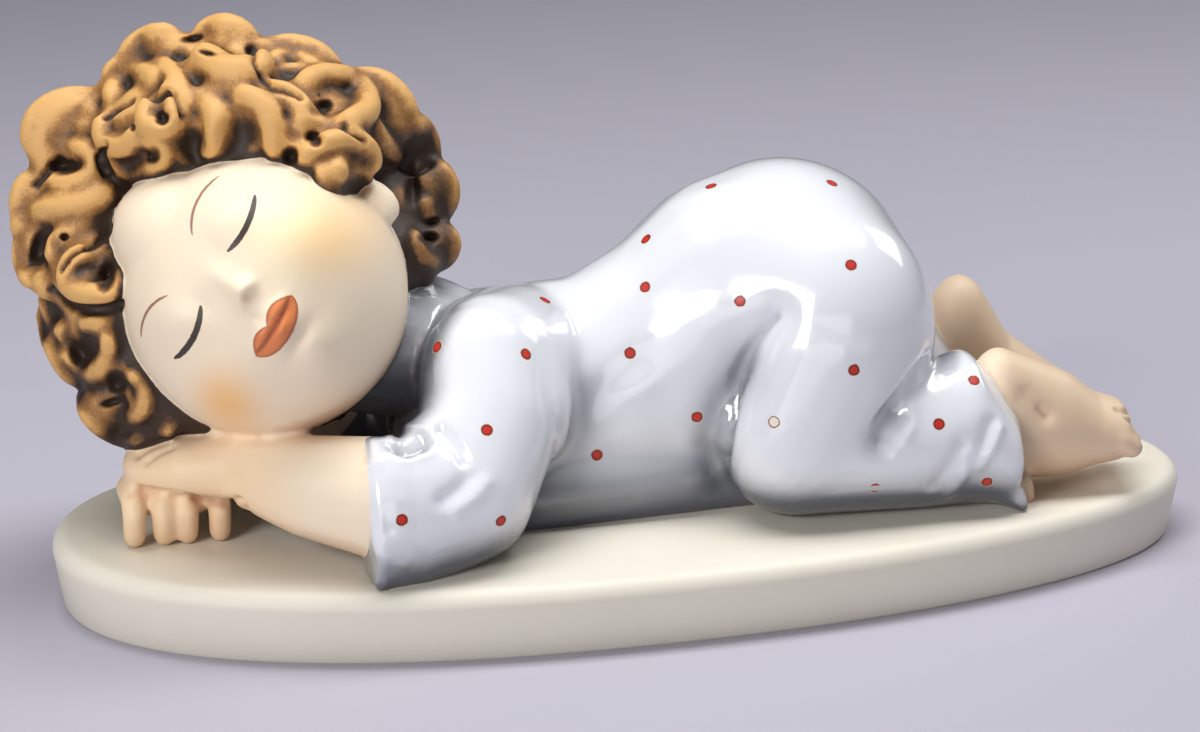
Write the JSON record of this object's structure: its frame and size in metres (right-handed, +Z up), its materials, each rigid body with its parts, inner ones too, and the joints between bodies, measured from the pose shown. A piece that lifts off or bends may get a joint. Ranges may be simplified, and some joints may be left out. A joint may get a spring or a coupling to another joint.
{
  "type": "sleeping child figurine",
  "caption": "Small glazed porcelain figurine of a curly-haired child asleep face down in spotted pyjamas, on an oval biscuit base.",
  "frame": {"origin": "centre of the oval base's underside", "axes": "+X along the base to the feet, -X to the head, -Y the side the face looks to, +Z up"},
  "size_m": [0.2043, 0.0845, 0.0967],
  "materials": {
    "painted_porcelain": "white glaze with red dots on the pyjamas, matt painted biscuit on the hair, face, hands and feet",
    "biscuit_porcelain": "matt unglazed cream biscuit"
  },
  "bodies": {
    "root": {"sleeping_child": "painted_porcelain", "oval_base": "biscuit_porcelain"}
  },
  "joints": []
}
